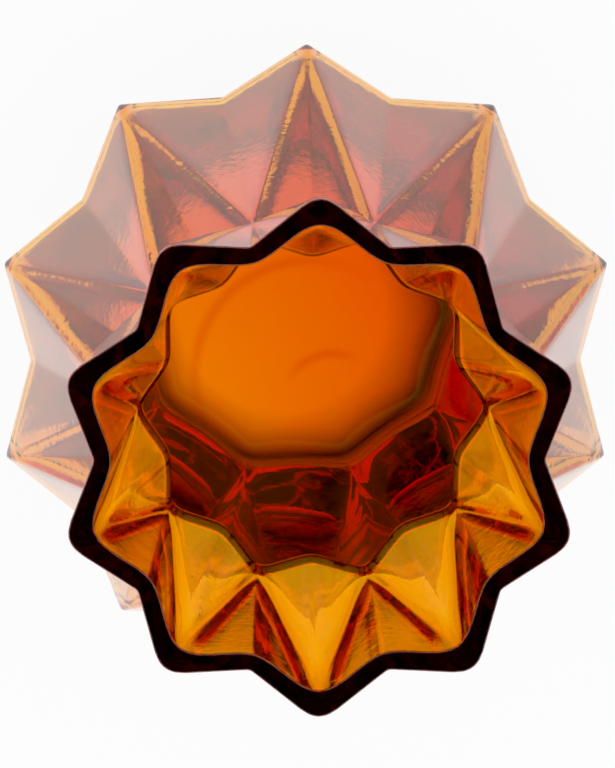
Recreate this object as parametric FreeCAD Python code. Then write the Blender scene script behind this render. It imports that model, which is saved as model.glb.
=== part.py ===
import FreeCAD, Part
import math
import os

# Hyacinth forcing vase, one piece of mould-blown glass with a ten-pointed star plan.
# All lengths are millimetres. +Z is up, the origin is the centre of the resting face.
# The glass is written as six sections that meet face to face on level planes.

# Plan of every star: points lie on the ridge angles, hollows half-way between them
point_count = 10
first_point_angle = -90.0

# Heights of the outer star levels above the resting face
vase_height = 170.0
waist_height = 122.5
belly_height = 74.6
heel_height = 1.6

# Outer star at the rim: ten points out
rim_point_radius = 41.2
rim_hollow_radius = 34.4
rim_point_round = 4.1

# Outer star at the waist: turned half a step, so its corners lie between the points
waist_dent_radius = 27.2
waist_corner_radius = 32.0

# Outer star at the belly: ten points out
belly_point_radius = 55.6
belly_hollow_radius = 48.3
belly_point_round = 1.3

# Outer star at the foot: turned half a step like the waist
foot_dent_radius = 38.0
foot_corner_radius = 41.3

# Glass thickness, measured level from face to face
rim_wall = 3.1
waist_wall = 3.1
belly_wall = 1.6
foot_wall = 8.4
floor_thickness = 8.0

# Inner surface: softer points, and levels a little below the outer ones
inner_rim_point_round = 5.4
inner_belly_point_round = 5.0
inner_waist_drop = 1.5
inner_belly_drop = 1.0
inner_heel_round = 2.0

# Ground rim and foot edges
rim_bevel = 0.45
heel_inset = 1.3

# Shallow hollow under the foot, so the vase stands on its outer ring
foot_hollow_radius = 25.0
foot_hollow_depth = 0.8

# Heights of the sections that have no star level of their own
lip_depth = 3.0
neck_half_height = 5.0

# Narrow flats that make one rounded point, an even number
flats_per_point = 6

# Length by which cutting shapes run past the glass
overrun = 5.0

step_angle = 2.0 * math.pi / point_count
half_step_angle = step_angle / 2.0


class StarLevel:
    """One level star: a radius on the points, a radius on the hollows, and a height."""

    def __init__(self, height, on_point, on_hollow, point_round=0.0):
        self.height = height
        self.on_point = on_point
        self.on_hollow = on_hollow
        self.point_round = point_round

    def flank_angle(self):
        """Angle between a flank and the radius through its point."""
        across = self.on_hollow * math.sin(half_step_angle)
        along = self.on_point - self.on_hollow * math.cos(half_step_angle)
        return math.atan2(across, along)

    def flank_distance(self):
        """Distance from the axis to the line of a flank."""
        return self.on_point * math.sin(self.flank_angle())

    def inset(self, distance, height, point_round):
        """The star whose flanks lie the given distance inside these."""
        share = 1.0 - distance / self.flank_distance()
        return StarLevel(height, self.on_point * share, self.on_hollow * share, point_round)

    def place(self, radius, angle):
        return FreeCAD.Vector(radius * math.cos(angle), radius * math.sin(angle), self.height)

    def hollow(self, index):
        angle = point_angle(index) + half_step_angle
        return self.place(self.on_hollow, angle)

    def points(self, index):
        """The rounded point as a run of places, or the one sharp place without a round."""
        axis_angle = point_angle(index)
        if self.point_round == 0.0:
            return [self.place(self.on_point, axis_angle)]
        flank = self.flank_angle()
        centre_radius = self.on_point - self.point_round / math.sin(flank)
        centre = self.place(centre_radius, axis_angle)
        sweep = math.pi / 2.0 - flank
        run = []
        for flat in range(flats_per_point + 1):
            turn = axis_angle + sweep * (2.0 * flat / flats_per_point - 1.0)
            reach = FreeCAD.Vector(math.cos(turn), math.sin(turn), 0.0)
            run.append(centre + reach * self.point_round)
        return run

    def outline(self):
        places = []
        for index in range(point_count):
            places.extend(self.points(index))
            places.append(self.hollow(index))
        return places


def point_angle(index):
    return math.radians(first_point_angle) + step_angle * index


def flat_face(places):
    return Part.Face(Part.makePolygon(places + [places[0]]))


def crossed_band(out_star, in_star):
    """Facets between a star with its points out and one turned half a step."""
    faces = []
    for index in range(point_count):
        run = out_star.points(index)
        middle = len(run) // 2
        before = in_star.hollow(index - 1)
        after = in_star.hollow(index)
        dent = in_star.points(index)[0]
        faces.append(flat_face([out_star.hollow(index - 1), run[0], before]))
        for first, second in zip(run[:middle], run[1:middle + 1]):
            faces.append(flat_face([first, second, before]))
        faces.append(flat_face([run[middle], dent, before]))
        faces.append(flat_face([run[middle], dent, after]))
        for first, second in zip(run[middle:-1], run[middle + 1:]):
            faces.append(flat_face([first, second, after]))
        faces.append(flat_face([run[-1], out_star.hollow(index), after]))
    return faces


def parallel_band(upper, lower):
    """Facets between two stars that point the same way."""
    top = upper.outline()
    bottom = lower.outline()
    faces = []
    for index in range(len(top)):
        last = index - 1
        faces.append(flat_face([top[last], top[index], bottom[index], bottom[last]]))
    return faces


def closed_solid(faces):
    solid = Part.makeSolid(Part.makeShell(faces))
    if solid.Volume < 0.0:
        solid.reverse()
    return solid


def rim_star():
    return StarLevel(vase_height - rim_bevel, rim_point_radius, rim_hollow_radius, rim_point_round)


def waist_star():
    return StarLevel(waist_height, waist_dent_radius, waist_corner_radius)


def belly_star():
    return StarLevel(belly_height, belly_point_radius, belly_hollow_radius, belly_point_round)


def foot_star():
    return StarLevel(heel_height, foot_dent_radius, foot_corner_radius)


def outer_body():
    """The vase's outer form as one closed solid, without its hollow."""
    rim = rim_star()
    rim_edge = rim.inset(rim_bevel, vase_height, rim_point_round - rim_bevel)
    waist = waist_star()
    belly = belly_star()
    foot = foot_star()
    sole = foot.inset(heel_inset, 0.0, 0.0)
    faces = [flat_face(rim_edge.outline())]
    faces += parallel_band(rim_edge, rim)
    faces += crossed_band(rim, waist)
    faces += crossed_band(belly, waist)
    faces += crossed_band(belly, foot)
    faces += parallel_band(foot, sole)
    faces.append(flat_face(sole.outline()))
    return closed_solid(faces)


def inner_space():
    """The space inside the glass, open past the rim."""
    rim = rim_star()
    foot = foot_star()
    mouth_inset = rim_wall - rim_bevel
    mouth_round = inner_rim_point_round + rim_bevel
    throat = rim.inset(rim_wall, rim.height, inner_rim_point_round)
    mouth = rim.inset(mouth_inset, vase_height, mouth_round)
    above = rim.inset(mouth_inset, vase_height + overrun, mouth_round)
    seat = waist_star().inset(waist_wall, waist_height - inner_waist_drop, 0.0)
    reservoir_height = belly_height - inner_belly_drop
    reservoir = belly_star().inset(belly_wall, reservoir_height, inner_belly_point_round)
    heel = foot.inset(foot_wall, floor_thickness + inner_heel_round, 0.0)
    bottom = foot.inset(foot_wall + inner_heel_round, floor_thickness, 0.0)
    faces = [flat_face(above.outline())]
    faces += parallel_band(above, mouth)
    faces += parallel_band(mouth, throat)
    faces += crossed_band(throat, seat)
    faces += crossed_band(reservoir, seat)
    faces += crossed_band(reservoir, heel)
    faces += parallel_band(heel, bottom)
    faces.append(flat_face(bottom.outline()))
    return closed_solid(faces)


def foot_hollow():
    """A shallow ball cap that hollows the underside."""
    rise = foot_hollow_depth
    ball_radius = (foot_hollow_radius ** 2 + rise ** 2) / (2.0 * rise)
    centre = FreeCAD.Vector(0.0, 0.0, rise - ball_radius)
    return Part.makeSphere(ball_radius, centre)


def slab(bottom, top):
    """A round plate wider than the vase, between two heights."""
    base = FreeCAD.Vector(0.0, 0.0, bottom)
    return Part.makeCylinder(belly_point_radius + overrun, top - bottom, base)


def section_heights():
    """Each section's name with the heights of its lower and upper planes."""
    lip_plane = vase_height - lip_depth
    neck_top = waist_height + neck_half_height
    neck_bottom = waist_height - neck_half_height
    return [
        ("rim_lip", lip_plane, vase_height + overrun),
        ("bulb_cup", neck_top, lip_plane),
        ("neck", neck_bottom, neck_top),
        ("shoulder", belly_height, neck_bottom),
        ("lower_body", floor_thickness, belly_height),
        ("base", -overrun, floor_thickness),
    ]


def main():
    os.makedirs("parts", exist_ok=True)
    glass = outer_body().cut(inner_space()).cut(foot_hollow())
    for name, bottom, top in section_heights():
        section = glass.common(slab(bottom, top)).Solids[0]
        section.exportStep("parts/" + name + ".step")
        print(name, "valid", section.isValid(), "volume", round(section.Volume, 1))
    print("glass volume", round(glass.Volume, 1), "solids", len(glass.Solids))


main()
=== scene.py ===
"""Looks of the hyacinth forcing vase: one vessel of amber glass on a pale floor.

All lengths are metres, +Z is up and the origin is the centre of the resting face.
"""

import logging
import math
from dataclasses import dataclass
from enum import Enum
from typing import Callable

import bpy
import numpy as np
from mathutils import Matrix, Vector

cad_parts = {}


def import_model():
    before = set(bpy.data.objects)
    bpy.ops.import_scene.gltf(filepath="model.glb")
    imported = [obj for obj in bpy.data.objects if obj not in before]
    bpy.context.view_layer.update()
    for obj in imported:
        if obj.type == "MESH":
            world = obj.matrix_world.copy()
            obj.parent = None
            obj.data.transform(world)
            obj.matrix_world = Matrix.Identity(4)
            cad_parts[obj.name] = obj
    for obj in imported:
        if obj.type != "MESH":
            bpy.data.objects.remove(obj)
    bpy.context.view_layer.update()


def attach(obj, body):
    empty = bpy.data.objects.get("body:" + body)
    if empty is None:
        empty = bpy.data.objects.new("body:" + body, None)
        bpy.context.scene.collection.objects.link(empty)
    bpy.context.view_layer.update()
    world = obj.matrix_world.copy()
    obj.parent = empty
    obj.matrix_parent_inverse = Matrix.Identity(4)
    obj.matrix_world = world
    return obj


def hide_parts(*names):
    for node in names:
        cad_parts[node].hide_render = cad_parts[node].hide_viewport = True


LOG = logging.getLogger("forcing_vase")
Socket = bpy.types.NodeSocket

POINT_COUNT = 10
FIRST_POINT_ANGLE = math.radians(-90.0)
STEP = 2.0 * math.pi / POINT_COUNT
HALF_STEP = STEP / 2.0
GOLDEN_ANGLE = math.pi * (3.0 - math.sqrt(5.0))
BODY = "root"
INSIDE = "inside"
WHITE = (1.0, 1.0, 1.0, 1.0)
LIGHT_BOUNCES = 40
SECTIONS = ("rim_lip", "bulb_cup", "neck", "shoulder", "lower_body", "base")


class Turn(Enum):
    """Which way a quarter round bends, seen in the wall's profile."""

    WALL_TO_FLAT = 1
    FLAT_TO_WALL = 2


@dataclass(frozen=True)
class Star:
    """One level of the star plan.

    Attributes:
        height: Height of the level.
        on_point: Radius at the angles of the ten points.
        on_hollow: Radius half-way between them.
        point_soft: Half-width over which the edge on the points is rounded.
        hollow_soft: Half-width over which the edge on the hollows is rounded.
    """

    height: float
    on_point: float
    on_hollow: float
    point_soft: float
    hollow_soft: float

    def flank_distance(self) -> float:
        """Works out how far the lines of the flanks pass from the axis.

        Returns:
            The distance.
        """
        across = self.on_hollow * math.sin(HALF_STEP)
        along = self.on_point - self.on_hollow * math.cos(HALF_STEP)
        return self.on_point * math.sin(math.atan2(across, along))

    def inset(self, distance: float, height: float, point_soft: float, hollow_soft: float) -> "Star":
        """Moves every flank towards the axis.

        Args:
            distance: Level distance between the old and the new flanks.
            height: Height of the new level.
            point_soft: Rounding of the new star on its points.
            hollow_soft: Rounding of the new star on its hollows.

        Returns:
            The smaller star.
        """
        share = 1.0 - distance / self.flank_distance()
        return Star(height, self.on_point * share, self.on_hollow * share, point_soft, hollow_soft)


def fold(angle: np.ndarray) -> np.ndarray:
    """Folds an angle into the half sector beside its nearest point.

    The angle is measured from the first point, taken modulo one step, and mirrored
    about the half step, so it runs from zero on a point to a half step on a hollow.

    Args:
        angle: Angles about the axis.

    Returns:
        Angles from zero to a half step.
    """
    turned = np.mod(angle - FIRST_POINT_ANGLE, STEP)
    return np.minimum(turned, STEP - turned)


def plane_reach(places: np.ndarray, angle: np.ndarray, height: np.ndarray) -> np.ndarray:
    """Level distance from the axis to a plane, looking along an angle at a height.

    With n the plane's normal and p a point of it, a place at reach r lies on the plane
    where r (nx cos a + ny sin a) + nz h equals n . p, and this is solved for r.

    Args:
        places: Three places on the plane, one in each row.
        angle: Angles in the half sector.
        height: Heights, of the same shape.

    Returns:
        The distances, of the same shape.
    """
    normal = np.cross(places[1] - places[0], places[2] - places[0])
    level = normal @ places[0]
    return (level - normal[2] * height) / (normal[0] * np.cos(angle) + normal[1] * np.sin(angle))


@dataclass(frozen=True)
class FacetBand:
    """The band of flat facets between a star with points out and one turned half a step.

    Attributes:
        flared: The star whose points stick out.
        pinched: The star whose corners lie between those points.
    """

    flared: Star
    pinched: Star

    def corners(self) -> np.ndarray:
        """Places the band's corners that lie in the half sector.

        Returns:
            The tip, the hollow, the dent and the corner, one in each row.
        """
        radii = np.array(
            [self.flared.on_point, self.flared.on_hollow, self.pinched.on_point, self.pinched.on_hollow]
        )
        angles = np.array([0.0, HALF_STEP, 0.0, HALF_STEP])
        heights = np.repeat([self.flared.height, self.pinched.height], 2)
        return np.column_stack([radii * np.cos(angles), radii * np.sin(angles), heights])

    def share(self, height: np.ndarray) -> np.ndarray:
        """Returns how far each height is from the flared star to the pinched one, 0 to 1."""
        span = self.pinched.height - self.flared.height
        return np.clip((height - self.flared.height) / span, 0.0, 1.0)

    def reach(self, angle: np.ndarray, height: np.ndarray) -> np.ndarray:
        """Radius of the sharp facets: the nearer of the two planes through the ridge.

        One plane holds the tip, the hollow and the corner, the other the tip, the dent
        and the corner, and the ridge from tip to corner is where they meet.

        Args:
            angle: Angles in the half sector.
            height: Heights, of the same shape.

        Returns:
            The radii, of the same shape.
        """
        tip, hollow, dent, corner = self.corners()
        beside_hollow = plane_reach(np.array([tip, hollow, corner]), angle, height)
        beside_dent = plane_reach(np.array([tip, dent, corner]), angle, height)
        return np.minimum(beside_hollow, beside_dent)

    def ridge_angle(self, height: np.ndarray) -> np.ndarray:
        """Angle of the ridge, the straight line from the tip to the corner.

        Args:
            height: Heights.

        Returns:
            Angles in the half sector, of the same shape.
        """
        tip, _, _, corner = self.corners()
        share = self.share(height)
        along = tip[0] + share * (corner[0] - tip[0])
        across = tip[1] + share * (corner[1] - tip[1])
        return np.arctan2(across, along)

    def softness(self, angle: np.ndarray, height: np.ndarray, fade: float) -> np.ndarray:
        """Half-width of the rounding, blended between the two stars' own values.

        Args:
            angle: Angles in the half sector.
            height: Heights, of the same shape.
            fade: Power with which the flared star's rounding dies away.

        Returns:
            The half-widths, of the same shape.
        """
        side = angle / HALF_STEP
        side = side * side * (3.0 - 2.0 * side)
        flared = self.flared.point_soft + side * (self.flared.hollow_soft - self.flared.point_soft)
        pinched = self.pinched.point_soft + side * (self.pinched.hollow_soft - self.pinched.point_soft)
        stays = (1.0 - self.share(height)) ** fade
        return pinched + stays * (flared - pinched)


@dataclass(frozen=True)
class FacetedWall:
    """One side of the glass: star levels from the rim down, with rounded facets between.

    Attributes:
        levels: Stars from the top down, flared and pinched in turn.
        fade: Power with which a flared star's rounding dies away along its ridges.
        ripple: Height of the slow unevenness that the mould and the breath leave.
        shoulder_bow: How far the middle band bows outwards.
        lower_bow: How far the lower band does.
        samples: Places averaged for each rounded one.
        ridge_room: Least share of the half sector kept on each side of the ridge column.
    """

    levels: tuple[Star, Star, Star, Star]
    fade: float
    ripple: float
    shoulder_bow: float = 0.0
    lower_bow: float = 0.0
    samples: int = 61
    ridge_room: float = 0.10

    def bands(self) -> list[FacetBand]:
        """Returns the bands of facets from the top down."""
        rim, waist, belly, foot = self.levels
        return [FacetBand(rim, waist), FacetBand(belly, waist), FacetBand(belly, foot)]

    def by_band(self, height: np.ndarray, values: list[np.ndarray]) -> np.ndarray:
        """Picks each place's value from the band that its height lies in.

        Args:
            height: Heights.
            values: One array for each band, of the same shape as the heights.

        Returns:
            The picked values.
        """
        above_waist = height >= self.levels[1].height
        above_belly = height >= self.levels[2].height
        return np.where(above_waist, values[0], np.where(above_belly, values[1], values[2]))

    def sharp(self, angle: np.ndarray, height: np.ndarray) -> np.ndarray:
        """Returns the radius of the sharp facets at angles about the axis."""
        folded = fold(angle)
        return self.by_band(height, [band.reach(folded, height) for band in self.bands()])

    def softened(self, angle: np.ndarray, height: np.ndarray) -> np.ndarray:
        """Radius of the rounded facets: a weighted mean of the sharp ones nearby.

        The places averaged fill a disc on the surface in a sunflower pattern, and one at
        distance d of the disc's radius weighs 1 - d squared, so flat facets stay flat and
        every edge gets a round of the disc's size.

        Args:
            angle: Angles about the axis.
            height: Heights, of the same shape.

        Returns:
            The radii, of the same shape.
        """
        folded = fold(angle)
        centre = self.sharp(angle, height)
        width = self.by_band(height, [b.softness(folded, height, self.fade) for b in self.bands()])
        total = np.zeros_like(centre)
        weights = 0.0
        for index in range(self.samples):
            distance = math.sqrt((index + 0.5) / self.samples)
            around = distance * math.cos(index * GOLDEN_ANGLE)
            up = distance * math.sin(index * GOLDEN_ANGLE)
            weight = 1.0 - distance * distance
            total += weight * self.sharp(angle + around * width / centre, height + up * width)
            weights += weight
        return total / weights + self.unevenness(angle, height) + self.bow(height)

    def bow(self, height: np.ndarray) -> np.ndarray:
        """Outward bows of the two lower bands, which leave the glass thin between its stars.

        Over the middle band, at share s from the belly's star to the waist's, it goes as
        s minus s to the fourth. Over the lower band it is half a sine wave.

        Args:
            height: Heights.

        Returns:
            Lengths to add to the radius, zero above the waist and below the foot.
        """
        _, waist, belly, foot = (level.height for level in self.levels)
        rising = np.clip((height - belly) / (waist - belly), 0.0, 1.0)
        share = np.clip((height - foot) / (belly - foot), 0.0, 1.0)
        peak = 0.75 * 0.25 ** (1.0 / 3.0)
        return self.shoulder_bow * (rising - rising ** 4) / peak + self.lower_bow * np.sin(math.pi * share)

    def unevenness(self, angle: np.ndarray, height: np.ndarray) -> np.ndarray:
        """Slow waves in the glass: three sines that close on themselves round the axis.

        Args:
            angle: Angles about the axis.
            height: Heights, of the same shape.

        Returns:
            Lengths to add to the radius.
        """
        waves = np.sin(2.0 * angle + 31.0 * height + 0.7)
        waves += 0.7 * np.sin(5.0 * angle - 74.0 * height + 2.1)
        waves += 0.5 * np.sin(9.0 * angle + 118.0 * height + 4.0)
        return self.ripple * waves

    def ridge(self, height: np.ndarray) -> np.ndarray:
        """Returns the angle of the ridge column at each height, kept off the point and the hollow."""
        angle = self.by_band(height, [band.ridge_angle(height) for band in self.bands()])
        return np.clip(angle, self.ridge_room * HALF_STEP, (1.0 - self.ridge_room) * HALF_STEP)


def clustered(start: float, stop: float, count: int) -> np.ndarray:
    """Values from start to stop that crowd at both ends, as a turning circle's shadow does.

    Args:
        start: First value.
        stop: Last value.
        count: Number of steps between them.

    Returns:
        One value more than the steps.
    """
    turn = np.linspace(0.0, math.pi, count + 1)
    return start + (stop - start) * (1.0 - np.cos(turn)) / 2.0


def level_offset(ring: np.ndarray, distance: float) -> np.ndarray:
    """Moves a closed level ring inwards along its own normals.

    Args:
        ring: Places in order round the axis, one in each row.
        distance: How far towards the inside, negative for outwards.

    Returns:
        The moved ring.
    """
    along = np.roll(ring, -1, axis=0) - np.roll(ring, 1, axis=0)
    outward = np.column_stack([along[:, 1], -along[:, 0], np.zeros(len(ring))])
    outward /= np.linalg.norm(outward, axis=1)[:, None]
    return ring - distance * outward


def radial_offset(ring: np.ndarray, distance: float) -> np.ndarray:
    """Moves a level ring straight towards the axis, which keeps close columns in order.

    Args:
        ring: Places in order round the axis, one in each row.
        distance: How far towards the axis.

    Returns:
        The moved ring.
    """
    share = 1.0 - distance / np.linalg.norm(ring[:, :2], axis=1)
    return ring * np.column_stack([share, share, np.ones(len(ring))])


@dataclass
class VaseGlass:
    """The whole vessel as one closed skin of glass, from the sole over the rim to the floor.

    A pair of radii or of softnesses is given for the points' angles and for those between.

    Attributes:
        vase_height: Height of the rim.
        waist_height: Height of the neck's star.
        belly_height: Height of the belly's star.
        heel_height: Height of the foot's star.
        rim_radii: Radii of the rim.
        waist_radii: Radii of the neck.
        belly_radii: Radii of the belly.
        foot_radii: Radii of the foot.
        rim_softness: Half-widths of the rounding at the rim.
        waist_softness: The same at the neck.
        belly_softness: The same at the belly.
        foot_softness: The same at the foot.
        outer_fade: Power with which the outer rounding dies away along the ridges.
        rim_wall: Thickness of the glass at the rim.
        waist_wall: Thickness at the neck.
        belly_wall: Thickness at the belly.
        foot_wall: Thickness at the foot.
        shoulder_bow: How far the inner face bows out between neck and belly.
        lower_bow: How far it does between belly and foot.
        inner_rim_softness: Half-widths of the inner face's rounding at the rim.
        inner_waist_softness: The same at the neck.
        inner_belly_softness: The same at the belly.
        inner_foot_softness: The same at the foot.
        inner_fade: Power with which the inner rounding dies away along the ridges.
        inner_waist_drop: How far the inner neck lies under the outer one.
        inner_belly_drop: The same for the belly.
        inner_ripple: Height of the slow waves of the inner face.
        floor_thickness: Thickness of the floor.
        inner_heel_round: Radius of the round between the floor and the wall.
        floor_slopes: Slopes of the floor along x and y.
        rim_bevel: Size of the round on the ground rim.
        heel_inset: How far the sole lies inside the foot's star.
        foot_hollow_radius: Radius of the hollow underneath.
        foot_hollow_depth: Its depth.
        zone_columns: Columns from a point to a ridge and from there to a hollow.
        cup_rows: Rows of the cup.
        shoulder_rows: Rows of the shoulder.
        lower_rows: Rows of the lower body.
        round_rows: Rows of each quarter round.
        floor_rows: Rows of the floor and of the hollow underneath.
        lip_shares: Places of the rows across the ground rim.
        sole_shares: Places of the rows across the flat ring that the vase stands on.
        pole_shares: Shares of the radius where the rows underneath and on the floor stop.
        floor_fade_height: Height up the wall at which the floor's unevenness has died away.
        floor_ripple: Height of the floor's slow waves.
    """

    vase_height: float = 0.170
    waist_height: float = 0.1225
    belly_height: float = 0.0746
    heel_height: float = 0.0016
    rim_radii: tuple[float, float] = (0.0412, 0.0344)
    waist_radii: tuple[float, float] = (0.0272, 0.0320)
    belly_radii: tuple[float, float] = (0.0556, 0.0483)
    foot_radii: tuple[float, float] = (0.0380, 0.0413)
    rim_softness: tuple[float, float] = (0.0042, 0.0007)
    waist_softness: tuple[float, float] = (0.0009, 0.0009)
    belly_softness: tuple[float, float] = (0.00085, 0.0007)
    foot_softness: tuple[float, float] = (0.0012, 0.0012)
    outer_fade: float = 2.5
    rim_wall: float = 0.0031
    waist_wall: float = 0.0031
    belly_wall: float = 0.0016
    foot_wall: float = 0.0080
    shoulder_bow: float = 0.0007
    lower_bow: float = 0.0034
    inner_rim_softness: tuple[float, float] = (0.0054, 0.0045)
    inner_waist_softness: tuple[float, float] = (0.0028, 0.0028)
    inner_belly_softness: tuple[float, float] = (0.0035, 0.0030)
    inner_foot_softness: tuple[float, float] = (0.0040, 0.0040)
    inner_fade: float = 1.0
    inner_waist_drop: float = 0.0015
    inner_belly_drop: float = 0.0010
    inner_ripple: float = 0.00010
    floor_thickness: float = 0.0080
    inner_heel_round: float = 0.0085
    floor_slopes: tuple[float, float] = (-0.11, -0.06)
    rim_bevel: float = 0.00045
    heel_inset: float = 0.0013
    foot_hollow_radius: float = 0.0250
    foot_hollow_depth: float = 0.0008
    zone_columns: int = 8
    cup_rows: int = 30
    shoulder_rows: int = 30
    lower_rows: int = 34
    round_rows: int = 8
    floor_rows: int = 14
    lip_shares: tuple[float, ...] = (0.07, 0.2, 0.5, 0.8, 0.93)
    sole_shares: tuple[float, ...] = (0.04, 0.35, 0.75, 0.96)
    pole_shares: tuple[float, float] = (0.06, 0.05)
    floor_fade_height: float = 0.030
    floor_ripple: float = 0.00012

    def outer_levels(self) -> tuple[Star, Star, Star, Star]:
        """Makes the outer stars.

        Returns:
            The stars at the rim, waist, belly and foot.
        """
        return (
            Star(self.vase_height - self.rim_bevel, *self.rim_radii, *self.rim_softness),
            Star(self.waist_height, *self.waist_radii, *self.waist_softness),
            Star(self.belly_height, *self.belly_radii, *self.belly_softness),
            Star(self.heel_height, *self.foot_radii, *self.foot_softness),
        )

    def inner_levels(self) -> tuple[Star, Star, Star, Star]:
        """Makes the inner stars, each a wall's thickness inside its outer one.

        Returns:
            The stars at the rim, waist, belly and foot.
        """
        rim, waist, belly, foot = self.outer_levels()
        heel_height = self.floor_thickness + self.inner_heel_round
        return (
            rim.inset(self.rim_wall, rim.height, *self.inner_rim_softness),
            waist.inset(self.waist_wall, waist.height - self.inner_waist_drop, *self.inner_waist_softness),
            belly.inset(self.belly_wall, belly.height - self.inner_belly_drop, *self.inner_belly_softness),
            foot.inset(self.foot_wall, heel_height, *self.inner_foot_softness),
        )

    def columns(self, ridge: np.ndarray) -> np.ndarray:
        """Angles of the columns: crowded at the points, the ridges and the hollows.

        Each half sector has two zones, from the point to the ridge and from the ridge to
        the hollow, and the second half mirrors the first.

        Args:
            ridge: Angle of the ridge in the half sector, one for each row.

        Returns:
            Angles about the axis, one row for each ridge.
        """
        zone = clustered(0.0, 1.0, self.zone_columns)
        before = ridge[:, None] * zone[None, :-1]
        after = ridge[:, None] + (HALF_STEP - ridge)[:, None] * zone[None, :]
        rising = np.concatenate([before, after], axis=1)
        falling = STEP - rising[:, -2:0:-1]
        sector = np.concatenate([rising, falling], axis=1)
        starts = FIRST_POINT_ANGLE + STEP * np.arange(POINT_COUNT)
        return (starts[None, :, None] + sector[:, None, :]).reshape(len(ridge), -1)

    def wall_rings(self, wall: FacetedWall) -> np.ndarray:
        """Rings of one side of the wall, from the top down.

        Args:
            wall: The side.

        Returns:
            Places in an array of rows by columns by three.
        """
        rim, waist, belly, foot = (level.height for level in wall.levels)
        cup = clustered(rim, waist, self.cup_rows)
        shoulder = clustered(waist, belly, self.shoulder_rows)[1:]
        lower = clustered(belly, foot, self.lower_rows)[1:]
        heights = np.concatenate([cup, shoulder, lower])
        angles = self.columns(wall.ridge(heights))
        grid = np.broadcast_to(heights[:, None], angles.shape)
        reach = wall.softened(angles, grid)
        return np.stack([reach * np.cos(angles), reach * np.sin(angles), grid], axis=2)

    def quarter_round(
        self,
        ring: np.ndarray,
        across: float,
        up: float,
        turn: Turn,
        offset: Callable[[np.ndarray, float], np.ndarray] = level_offset,
    ) -> list[np.ndarray]:
        """Rings of an elliptic quarter round that starts or ends at a wall's last ring.

        At turn t the ring has moved in by across (1 - cos t) and up by up sin t.

        Args:
            ring: The wall's last ring.
            across: How far the round reaches in, negative for outwards.
            up: How far it reaches up, negative for down.
            turn: Whether the rings run from the wall to the flat face or back.
            offset: How a ring is moved in.

        Returns:
            The rings without the wall's own, in the order of the turn.
        """
        rings = []
        for step in range(1, self.round_rows + 1):
            angle = math.pi / 2.0 * step / self.round_rows
            moved = offset(ring, across * (1.0 - math.cos(angle)))
            moved[:, 2] += up * math.sin(angle)
            rings.append(moved)
        return rings if turn is Turn.WALL_TO_FLAT else rings[::-1]

    def evened(self, edge: np.ndarray, radius: np.ndarray, height: float, share: float) -> np.ndarray:
        """A level ring whose columns turn from those of an edge to evenly spaced ones.

        Args:
            edge: The ring that has the crowded columns.
            radius: Radius of each place.
            height: Height of the ring.
            share: Zero for the edge's own angles and one for even ones.

        Returns:
            The ring.
        """
        even = FIRST_POINT_ANGLE + 2.0 * math.pi * np.arange(len(edge)) / len(edge)
        turned = np.arctan2(edge[:, 1], edge[:, 0])
        apart = np.mod(turned - even + math.pi, 2.0 * math.pi) - math.pi
        angles = even + (1.0 - share) * apart
        level = np.full_like(radius, height)
        return np.column_stack([radius * np.cos(angles), radius * np.sin(angles), level])

    def underside_rings(self, sole: np.ndarray) -> list[np.ndarray]:
        """Rings of the sole's flat ring and of the shallow hollow inside it.

        The flat ring blends the star into a circle, and the hollow rises by its depth
        times one minus the square of the radius over the hollow's radius.

        Args:
            sole: The outer ring of the flat face.

        Returns:
            Rings from near the centre outwards, without the sole's own.
        """
        radii = np.linalg.norm(sole[:, :2], axis=1)
        rings = []
        for share in np.linspace(self.pole_shares[0], 1.0, self.floor_rows):
            radius = np.full_like(radii, share * self.foot_hollow_radius)
            rise = self.foot_hollow_depth * (1.0 - share * share)
            rings.append(self.evened(sole, radius, rise, 1.0))
        for share in self.sole_shares:
            radius = self.foot_hollow_radius + share * (radii - self.foot_hollow_radius)
            rings.append(self.evened(sole, radius, 0.0, 1.0 - share))
        return rings

    def floor_rings(self, edge: np.ndarray) -> list[np.ndarray]:
        """Rings of the inner floor, from its edge to near the centre.

        Args:
            edge: The floor's outer ring.

        Returns:
            Rings without the edge's own.
        """
        radii = np.linalg.norm(edge[:, :2], axis=1)
        mean = radii.mean()
        rings = []
        for share in np.linspace(1.0, self.pole_shares[1], self.floor_rows + 1)[1:]:
            radius = share * (mean + share ** 4 * (radii - mean))
            evenness = min(1.0, 4.0 * (1.0 - share))
            rings.append(self.evened(edge, radius, self.floor_thickness, evenness))
        return rings

    def floor_unevenness(self, places: np.ndarray) -> np.ndarray:
        """How far the inner floor lies off its level: a plane slope and two slow waves.

        The waves are sines of sums of x and y. All of it counts in full on the floor and
        dies away up the wall.

        Args:
            places: Places of the inside.

        Returns:
            Heights to add, one for each place.
        """
        x, y, z = places[..., 0], places[..., 1], places[..., 2]
        slope = self.floor_slopes[0] * x + self.floor_slopes[1] * y
        waves = np.sin(95.0 * x + 60.0 * y + 0.4) + 0.6 * np.sin(150.0 * y - 70.0 * x + 1.9)
        low = self.floor_thickness + self.inner_heel_round
        fading = np.clip((self.floor_fade_height - z) / (self.floor_fade_height - low), 0.0, 1.0)
        return fading * (slope + self.floor_ripple * waves)

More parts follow.
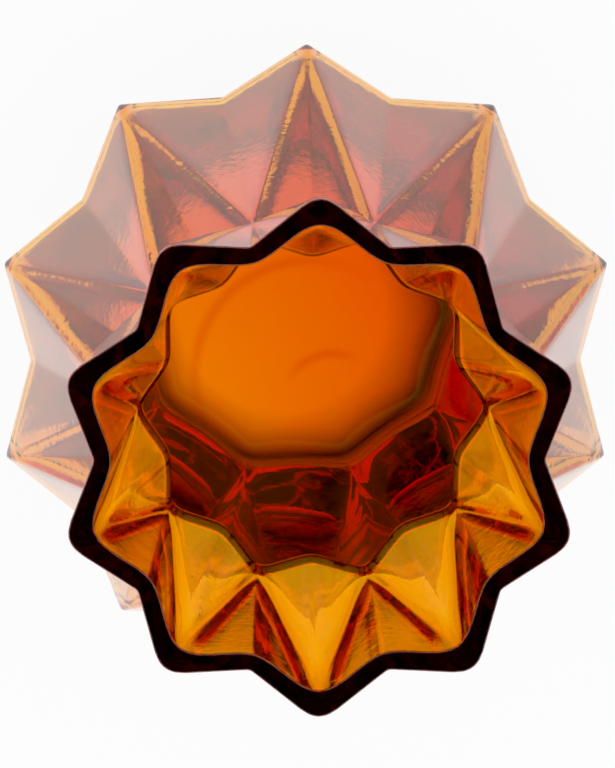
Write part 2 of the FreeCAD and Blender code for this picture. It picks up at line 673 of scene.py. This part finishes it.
    def shape(self) -> tuple[np.ndarray, np.ndarray]:
        """Works out every ring, from the middle of the sole over the rim to the floor's middle.

        Returns:
            The rings outside and on the rim, and those inside, each an array of rings by
            columns by three.
        """
        outer = self.wall_rings(FacetedWall(self.outer_levels(), self.outer_fade, 0.0))
        inner_wall = FacetedWall(
            self.inner_levels(), self.inner_fade, self.inner_ripple, self.shoulder_bow, self.lower_bow
        )
        inner = self.wall_rings(inner_wall)
        heel = self.quarter_round(outer[-1], self.heel_inset, -self.heel_height, Turn.FLAT_TO_WALL)
        lip = self.quarter_round(outer[0], self.rim_bevel, self.rim_bevel, Turn.WALL_TO_FLAT)
        mouth = self.quarter_round(inner[0], -self.rim_bevel, self.rim_bevel, Turn.FLAT_TO_WALL)
        ground = [lip[-1] + share * (mouth[0] - lip[-1]) for share in self.lip_shares]
        inner_heel = self.quarter_round(
            inner[-1], self.inner_heel_round, -self.inner_heel_round, Turn.WALL_TO_FLAT, radial_offset
        )
        outside = self.underside_rings(heel[0]) + heel + list(outer[::-1]) + lip + ground + mouth
        inside = np.array(list(inner) + inner_heel + self.floor_rings(inner_heel[-1]))
        inside[:, :, 2] += self.floor_unevenness(inside)
        return np.array(outside), inside

    def build(self, material: bpy.types.Material) -> bpy.types.Object:
        """Makes the vessel's object.

        Args:
            material: The glass.

        Returns:
            The object, riding on its body and standing for every section.
        """
        outside, inside = self.shape()
        first = np.array([0.0, 0.0, self.foot_hollow_depth])
        last = inside[-1].mean(axis=0)
        piece = skin_of_rings("vase_glass", np.concatenate([outside, inside]), first, last)
        is_inside = np.arange(len(piece.data.vertices)) >= outside.shape[0] * outside.shape[1]
        is_inside[-2] = False
        side = piece.data.attributes.new(INSIDE, "FLOAT", "POINT")
        side.data.foreach_set("value", is_inside.astype(np.float32))
        piece.data.materials.append(material)
        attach(piece, BODY)
        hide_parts(*SECTIONS)
        return piece


def skin_of_rings(name: str, rings: np.ndarray, first: np.ndarray, last: np.ndarray) -> bpy.types.Object:
    """Makes a closed smooth mesh from rings of places and a pole at either end.

    Place j of ring i is vertex i n + j. Each quad joins places j and j + 1 of two rings
    that follow each other, and each pole has a fan of triangles to its ring.

    Args:
        name: Name of the object.
        rings: Places in an array of rings by columns by three.
        first: The pole before the first ring.
        last: The pole after the last ring.

    Returns:
        The object, linked to the scene.
    """
    ring_count, column_count, _ = rings.shape
    places = np.concatenate([rings.reshape(-1, 3), first[None, :], last[None, :]])
    columns = np.arange(column_count)
    beside = np.roll(columns, -1)
    starts = column_count * np.arange(ring_count - 1)[:, None]
    quads = np.stack(
        [starts + columns, starts + beside, starts + column_count + beside, starts + column_count + columns],
        axis=2,
    ).reshape(-1, 4)
    first_index = ring_count * column_count
    end = column_count * (ring_count - 1)
    first_fan = np.column_stack([np.full_like(columns, first_index), beside, columns])
    last_fan = np.column_stack([end + columns, end + beside, np.full_like(columns, first_index + 1)])
    faces = quads.tolist() + first_fan.tolist() + last_fan.tolist()
    mesh = bpy.data.meshes.new(name)
    mesh.from_pydata(places.tolist(), [], faces)
    mesh.polygons.foreach_set("use_smooth", np.ones(len(faces), dtype=bool))
    mesh.update()
    piece = bpy.data.objects.new(name, mesh)
    bpy.context.scene.collection.objects.link(piece)
    return piece


class NodeSheet:
    """A node tree with short calls that add nodes, fill their sockets and join them."""

    def __init__(self, tree: bpy.types.NodeTree) -> None:
        """Empties the tree and keeps it.

        Args:
            tree: The node tree to write on.
        """
        self.tree = tree
        tree.nodes.clear()

    def add(self, kind: str, settings: dict | None = None, **inputs: object) -> bpy.types.Node:
        """Adds a node.

        Args:
            kind: The node's type name.
            settings: Values of its own properties.
            inputs: Values or source sockets for its inputs, with _ for a space in a name.

        Returns:
            The node.
        """
        node = self.tree.nodes.new(kind)
        for key, value in (settings or {}).items():
            setattr(node, key, value)
        for key, value in inputs.items():
            self.fill(node.inputs[key.replace("_", " ")], value)
        return node

    def fill(self, socket: Socket, value: object) -> None:
        """Sets a socket to a value, or joins a source socket to it.

        Args:
            socket: The input socket.
            value: A plain value or an output socket.
        """
        if isinstance(value, Socket):
            self.tree.links.new(value, socket)
        else:
            socket.default_value = value

    def sum_up(self, operation: str, *values: object) -> Socket:
        """Adds a math node.

        Args:
            operation: The node's operation.
            values: Its inputs in order, plain numbers or sockets.

        Returns:
            The result's socket.
        """
        node = self.add("ShaderNodeMath", {"operation": operation})
        for socket, value in zip(node.inputs, values):
            self.fill(socket, value)
        return node.outputs[0]

    def vector(self, operation: str, *values: object) -> Socket:
        """Adds a vector math node.

        Args:
            operation: The node's operation.
            values: Its inputs in order, plain vectors or sockets.

        Returns:
            The result's socket, a vector or a number as the operation gives.
        """
        node = self.add("ShaderNodeVectorMath", {"operation": operation})
        for socket, value in zip(node.inputs, values):
            self.fill(socket, value)
        return next(socket for socket in node.outputs if socket.enabled)

    def mix(self, share: object, first: object, second: object) -> Socket:
        """Adds a node that mixes two colours.

        Args:
            share: Zero for the first colour and one for the second.
            first: A colour or its socket.
            second: The other colour or its socket.

        Returns:
            The mixed colour's socket.
        """
        node = self.add("ShaderNodeMix", {"data_type": "RGBA"}, Factor=share)
        self.fill(node.inputs[6], first)
        self.fill(node.inputs[7], second)
        return node.outputs[2]

    def between(self, value: object, low: float, high: float, at_low: float, at_high: float) -> Socket:
        """Maps a value smoothly from one range to another.

        Args:
            value: The source socket.
            low: Value where the change starts.
            high: Value where it ends.
            at_low: Result at the start and before.
            at_high: Result at the end and after.

        Returns:
            The result's socket.
        """
        node = self.add("ShaderNodeMapRange", {"interpolation_type": "SMOOTHSTEP"}, Value=value)
        names = ("From Min", "From Max", "To Min", "To Max")
        for name, number in zip(names, (low, high, at_low, at_high)):
            node.inputs[name].default_value = number
        return node.outputs["Result"]


@dataclass(frozen=True)
class FloorStreak:
    """A darker streak in the floor's glass, along an arc.

    Attributes:
        center: Centre of the arc's circle.
        radius: Radius of the circle.
        start: Angle at which the streak is darkest.
        sweep: Angle after which it has died away, on both sides.
        width: Half-width of the streak.
    """

    center: tuple[float, float, float]
    radius: float
    start: float
    sweep: float
    width: float

    def mask(self, sheet: NodeSheet, place: Socket) -> Socket:
        """Adds the streak's mask.

        It falls off smoothly with the distance from the circle, and with the turn from
        the start, whose cosine is a dot product.

        Args:
            sheet: The node sheet to add it to.
            place: Place on the vase.

        Returns:
            One on the streak and zero away from it.
        """
        apart = sheet.vector("SUBTRACT", place, self.center)
        level = sheet.vector("MULTIPLY", apart, (1.0, 1.0, 0.0))
        distance = sheet.vector("LENGTH", level)
        off = sheet.sum_up("ABSOLUTE", sheet.sum_up("SUBTRACT", distance, self.radius))
        across = sheet.between(off, 0.0, self.width, 1.0, 0.0)
        toward = (math.cos(self.start), math.sin(self.start), 0.0)
        turn = sheet.vector("DOT_PRODUCT", sheet.vector("NORMALIZE", level), toward)
        along = sheet.between(turn, math.cos(self.sweep), 1.0, 0.0, 1.0)
        return sheet.sum_up("MULTIPLY", across, along)


@dataclass(frozen=True)
class AmberGlass:
    """Clear amber glass: polished outside, mottled inside, ground on the rim, streaked in the floor.

    Attributes:
        index: Refractive index.
        depth_color: Colour of the light that is left after the glass has taken its share.
        depth_density: Strength of that absorption, per metre.
        rim_height: Height above which the ground rim starts.
        rim_step: Height over which it begins.
        rim_painted_shade: Painted near-black shade of the ground rim, whose glass is amber like the rest.
        rim_roughness: Roughness of the ground rim.
        cup_height: Height of the neck, where the cup starts.
        cup_painted_tint: Painted amber tint of the cup, which stands in for the amber light seen through it.
        cup_painted_tint_reach: How far below and above the neck that painted tint grows.
        cord_height: Height of the cords, the faint streaks of uneven glass.
        cord_scale: Fineness of the cords.
        cord_stretch: Shares of x, y and z in their pattern, drawn out upwards.
        mottle_scale: Fineness of the mottled skin that the mould's plunger left inside.
        mottle_height: Height of that skin's unevenness below the neck.
        mottle_heights: Heights between which it grows above the floor.
        cup_mottle: Share of it that the cup has.
        cup_mottle_reach: How far below the neck it starts to fade to that share.
        streaks: Streaks in the floor.
        streak_tint: Colour of a streak where it is darkest.
        streak_heights: Heights between which the streaks end.
    """

    index: float = 1.52
    depth_color: tuple[float, float, float] = (0.991, 0.902, 0.0)
    depth_density: float = 1700.0
    rim_height: float = 0.1699
    rim_step: float = 0.00009
    # Painted shade: the ground rim is coloured near-black, though its glass is amber.
    rim_painted_shade: tuple[float, float, float] = (0.003, 0.0012, 0.0006)
    rim_roughness: float = 0.06
    cup_height: float = 0.1225
    # Painted light: an amber tint on the cup in place of the amber light seen through it.
    cup_painted_tint: tuple[float, float, float] = (1.0, 0.72, 0.3)
    cup_painted_tint_reach: tuple[float, float] = (0.012, 0.014)
    cord_height: float = 0.00006
    cord_scale: float = 120.0
    cord_stretch: tuple[float, float, float] = (1.0, 1.0, 0.4)
    mottle_scale: float = 700.0
    mottle_height: float = 0.00006
    mottle_heights: tuple[float, float] = (0.020, 0.045)
    cup_mottle: float = 0.3
    cup_mottle_reach: float = 0.004
    streaks: tuple[FloorStreak, ...] = (
        FloorStreak((-0.0026, 0.0140, 0.0), 0.0225, math.radians(-42.0), math.radians(88.0), 0.0020),
        FloorStreak((-0.0069, 0.0194, 0.0), 0.0098, math.radians(-72.0), math.radians(52.0), 0.0018),
    )
    streak_tint: tuple[float, float, float] = (0.85, 0.5, 0.3)
    streak_heights: tuple[float, float] = (0.0105, 0.0130)

    def base_color(self, sheet: NodeSheet, place: Socket, height: Socket, inside: Socket) -> Socket:
        """Adds the colour that a face of the glass lets through: a painted near-black shade on the rim, a
        painted amber tint on the cup, and the floor streaks.

        Args:
            sheet: The node sheet to add it to.
            place: Place on the vase.
            height: Its height.
            inside: One on the inner face.

        Returns:
            The colour's socket.
        """
        # The cup's painted amber tint, which stands in for light.
        below, above = self.cup_painted_tint_reach
        on_cup = sheet.between(height, self.cup_height - below, self.cup_height + above, 0.0, 1.0)
        color = sheet.mix(on_cup, WHITE, (*self.cup_painted_tint, 1.0))
        low = sheet.between(height, *self.streak_heights, 1.0, 0.0)
        on_floor = sheet.sum_up("MULTIPLY", inside, low)
        for streak in self.streaks:
            dark = sheet.sum_up("MULTIPLY", on_floor, streak.mask(sheet, place))
            color = sheet.mix(dark, color, (*self.streak_tint, 1.0))
        # The rim's painted near-black shade.
        on_rim = sheet.between(height, self.rim_height, self.rim_height + self.rim_step, 0.0, 1.0)
        return sheet.mix(on_rim, color, (*self.rim_painted_shade, 1.0))

    def relief(self, sheet: NodeSheet, place: Socket, height: Socket, inside: Socket) -> Socket:
        """Adds the fine unevenness: cords all over, and a mottled skin on the inner face.

        Args:
            sheet: The node sheet to add it to.
            place: Place on the vase.
            height: Its height.
            inside: One on the inner face.

        Returns:
            The normal's socket.
        """
        stretched = sheet.vector("MULTIPLY", place, self.cord_stretch)
        noise = "ShaderNodeTexNoise"
        cords = sheet.add(noise, Vector=stretched, Scale=self.cord_scale, Detail=2.0, Distortion=0.6)
        mottle = sheet.add(noise, Vector=place, Scale=self.mottle_scale, Detail=2.0)
        above_floor = sheet.between(height, *self.mottle_heights, 0.0, 1.0)
        cup_start = self.cup_height - self.cup_mottle_reach
        in_cup = sheet.between(height, cup_start, self.cup_height, 1.0, self.cup_mottle)
        share = sheet.sum_up("MULTIPLY", sheet.sum_up("MULTIPLY", inside, above_floor), in_cup)
        mottled = sheet.sum_up("MULTIPLY", mottle.outputs[0], share)
        skin = sheet.sum_up("MULTIPLY", mottled, self.mottle_height)
        rise = sheet.sum_up("ADD", sheet.sum_up("MULTIPLY", cords.outputs[0], self.cord_height), skin)
        return sheet.add("ShaderNodeBump", Strength=1.0, Distance=1.0, Height=rise).outputs[0]

    def build(self) -> bpy.types.Material:
        """Makes the material.

        Returns:
            The material, with a glass surface and an absorbing inside.
        """
        material = bpy.data.materials.new("amber_glass")
        material.use_nodes = True
        sheet = NodeSheet(material.node_tree)
        place = sheet.add("ShaderNodeTexCoord").outputs["Object"]
        height = sheet.add("ShaderNodeSeparateXYZ", Vector=place).outputs["Z"]
        inside = sheet.add("ShaderNodeAttribute", {"attribute_name": INSIDE}).outputs["Fac"]
        surface = sheet.add("ShaderNodeBsdfPrincipled", IOR=self.index, Metallic=0.0)
        surface.inputs["Transmission Weight"].default_value = 1.0
        sheet.fill(surface.inputs["Base Color"], self.base_color(sheet, place, height, inside))
        sheet.fill(surface.inputs["Normal"], self.relief(sheet, place, height, inside))
        ground_height = self.rim_height + self.rim_step
        ground = sheet.between(height, self.rim_height, ground_height, 0.0, self.rim_roughness)
        sheet.fill(surface.inputs["Roughness"], ground)
        sheet.fill(surface.inputs["Coat Weight"], sheet.sum_up("SUBTRACT", 1.0, inside))
        absorbed = sheet.add("ShaderNodeVolumeAbsorption")
        absorbed.inputs["Color"].default_value = (*self.depth_color, 1.0)
        absorbed.inputs["Density"].default_value = self.depth_density
        output = sheet.add("ShaderNodeOutputMaterial")
        sheet.fill(output.inputs["Surface"], surface.outputs[0])
        sheet.fill(output.inputs["Volume"], absorbed.outputs[0])
        return material


@dataclass(frozen=True)
class Studio:
    """A pale floor that runs out of sight, white sides and a dark ceiling.

    Attributes:
        floor_half: Half the floor's side.
        floor_gap: How far the floor lies under the resting face.
        white: Share of the floor's own light that the camera sees, beside its shadow.
        floor_color: Colour of the lit floor.
        shade_center: Middle of the painted amber shade on the floor, rings of colour in place of the shade
            that the vase throws.
        pool_center: Middle of the painted pool of light on the floor.
        pool_light: Brightness inside the pool and outside it, as the glass sees it. One is white.
        pool_radii: Radii between which it changes.
        shade_radii: Radii of the shade's rings.
        shade_lights: Share of the pool's light at each, one at most.
        shade_greens: Green for each red there, and blue for each green.
        side_height: Height of direction below which the glass sees the surroundings white.
        ceiling_height: Height of direction above which it sees them black.
    """

    floor_half: float = 3.0
    floor_gap: float = 0.0002
    white: float = 0.9
    floor_color: tuple[float, float, float] = (0.9, 0.9, 0.9)
    shade_center: tuple[float, float, float] = (0.003, 0.002, 0.0)
    pool_center: tuple[float, float, float] = (0.100, -0.010, 0.0)
    pool_light: tuple[float, float] = (1.0, 0.8)
    pool_radii: tuple[float, float] = (0.14, 0.30)
    shade_radii: tuple[float, ...] = (0.020, 0.034, 0.052, 0.070, 0.090, 0.120)
    shade_lights: tuple[float, ...] = (1.0, 0.03, 0.90, 1.0, 1.0, 1.0)
    shade_greens: tuple[float, ...] = (0.48, 0.12, 0.58, 0.85, 1.0, 1.0)
    side_height: float = 0.30
    ceiling_height: float = 0.60

    def ray_tests(self, sheet: NodeSheet) -> tuple[Socket, Socket]:
        """Adds the tests for the two kinds of ray that are shown a plain white.

        Args:
            sheet: The node sheet to add them to.

        Returns:
            One for a ray straight from the camera, and one for a ray off or through the glass.
        """
        path = sheet.add("ShaderNodeLightPath").outputs
        glass = sheet.sum_up("MAXIMUM", path["Is Glossy Ray"], path["Is Transmission Ray"])
        return path["Is Camera Ray"], glass

    def build_world(self) -> None:
        """Makes the surroundings: white to the camera and on matt faces, dark overhead in the glass."""
        world = bpy.data.worlds.new("studio")
        bpy.context.scene.world = world
        world.use_nodes = True
        sheet = NodeSheet(world.node_tree)
        direction = sheet.add("ShaderNodeTexCoord").outputs["Generated"]
        up = sheet.add("ShaderNodeSeparateXYZ", Vector=direction).outputs["Z"]
        room = sheet.between(up, self.side_height, self.ceiling_height, 1.0, 0.0)
        straight, by_glass = self.ray_tests(sheet)
        soft = sheet.sum_up("SUBTRACT", 1.0, by_glass)
        reflected = sheet.sum_up("ADD", sheet.sum_up("MULTIPLY", by_glass, room), soft)
        strength = sheet.sum_up("MAXIMUM", straight, reflected)
        light = sheet.add("ShaderNodeBackground", Color=WHITE, Strength=strength)
        output = sheet.add("ShaderNodeOutputWorld")
        sheet.fill(output.inputs["Surface"], light.outputs[0])

    def table_light(self, sheet: NodeSheet) -> Socket:
        """Adds the table's light as the glass sees it: a painted pool of light with a painted amber shade of
        the vase.

        Args:
            sheet: The node sheet to add it to.

        Returns:
            The light's colour.
        """
        place = sheet.add("ShaderNodeTexCoord").outputs["Object"]
        away = sheet.vector("DISTANCE", place, self.shade_center)
        from_center = sheet.vector("DISTANCE", place, self.pool_center)
        pool = sheet.between(from_center, *self.pool_radii, *self.pool_light)
        reach = self.shade_radii[-1]
        ramp = sheet.add("ShaderNodeValToRGB", Fac=sheet.sum_up("DIVIDE", away, reach))
        stops = ramp.color_ramp.elements
        while len(stops) < len(self.shade_radii):
            stops.new(1.0)
        rings = zip(stops, self.shade_radii, self.shade_lights, self.shade_greens)
        for stop, radius, light, green in rings:
            stop.position = radius / reach
            stop.color = (light, light * green, light * green * green, 1.0)
        lit = sheet.add("ShaderNodeVectorMath", {"operation": "SCALE"}, Vector=ramp.outputs[0], Scale=pool)
        return lit.outputs[0]

    def build_floor(self) -> bpy.types.Object:
        """Makes the floor.

        Returns:
            The floor's object.
        """
        material = bpy.data.materials.new("pale_floor")
        material.use_nodes = True
        sheet = NodeSheet(material.node_tree)
        straight, by_glass = self.ray_tests(sheet)
        share = sheet.sum_up("MAXIMUM", sheet.sum_up("MULTIPLY", straight, self.white), by_glass)
        matt = sheet.add("ShaderNodeBsdfDiffuse", Color=(*self.floor_color, 1.0))
        # Glass rays see the painted pool of light and painted amber shade, the camera plain white.
        white = sheet.mix(straight, self.table_light(sheet), WHITE)
        glow = sheet.add("ShaderNodeEmission", Color=white, Strength=1.0)
        mix = sheet.add("ShaderNodeMixShader", Fac=share)
        sheet.fill(mix.inputs[1], matt.outputs[0])
        sheet.fill(mix.inputs[2], glow.outputs[0])
        output = sheet.add("ShaderNodeOutputMaterial")
        sheet.fill(output.inputs["Surface"], mix.outputs[0])
        side = np.array([-self.floor_half, self.floor_half])
        x, y = np.meshgrid(side, side)
        places = np.column_stack([x.ravel(), y.ravel(), np.full(4, -self.floor_gap)])
        mesh = bpy.data.meshes.new("floor")
        mesh.from_pydata(places.tolist(), [], [(0, 1, 3, 2)])
        mesh.materials.append(material)
        floor = bpy.data.objects.new("floor", mesh)
        bpy.context.scene.collection.objects.link(floor)
        return floor


@dataclass(frozen=True)
class PhotoCamera:
    """The photograph's camera, which looks down into the mouth.

    Attributes:
        place: Where it stands.
        target: What it looks at.
        upward: Direction that points up in the picture.
        lens: Focal length in millimetres.
        sensor: Length of the sensor's long side in millimetres.
    """

    place: tuple[float, float, float] = (0.0156, -0.1130, 0.7676)
    target: tuple[float, float, float] = (0.0003, 0.0, 0.100)
    upward: tuple[float, float, float] = (-0.0013, -0.986, -0.167)
    lens: float = 187.5
    sensor: float = 36.0

    def build(self) -> bpy.types.Object:
        """Makes the camera and hands it to the scene.

        Returns:
            The camera's object.
        """
        data = bpy.data.cameras.new("photo_camera")
        data.lens = self.lens
        data.sensor_width = self.sensor
        camera = bpy.data.objects.new("photo_camera", data)
        bpy.context.scene.collection.objects.link(camera)
        back = (Vector(self.place) - Vector(self.target)).normalized()
        right = Vector(self.upward).cross(back).normalized()
        up = back.cross(right)
        turn = Matrix((right, up, back)).transposed()
        camera.matrix_world = Matrix.Translation(self.place) @ turn.to_4x4()
        bpy.context.scene.camera = camera
        return camera


def main() -> None:
    """Builds the vase, the floor, the light and the camera, in that order."""
    logging.basicConfig(level=logging.INFO, format="%(message)s")
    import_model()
    piece = VaseGlass().build(AmberGlass().build())
    LOG.info("%s: %d faces", piece.name, len(piece.data.polygons))
    studio = Studio()
    studio.build_world()
    LOG.info("%s: built", studio.build_floor().name)
    LOG.info("%s: built", PhotoCamera().build().name)
    scene = bpy.context.scene
    scene.view_settings.view_transform = "Standard"
    scene.cycles.max_bounces = LIGHT_BOUNCES
    scene.cycles.transmission_bounces = LIGHT_BOUNCES
    scene.cycles.glossy_bounces = LIGHT_BOUNCES


if __name__ == "__main__":
    main()
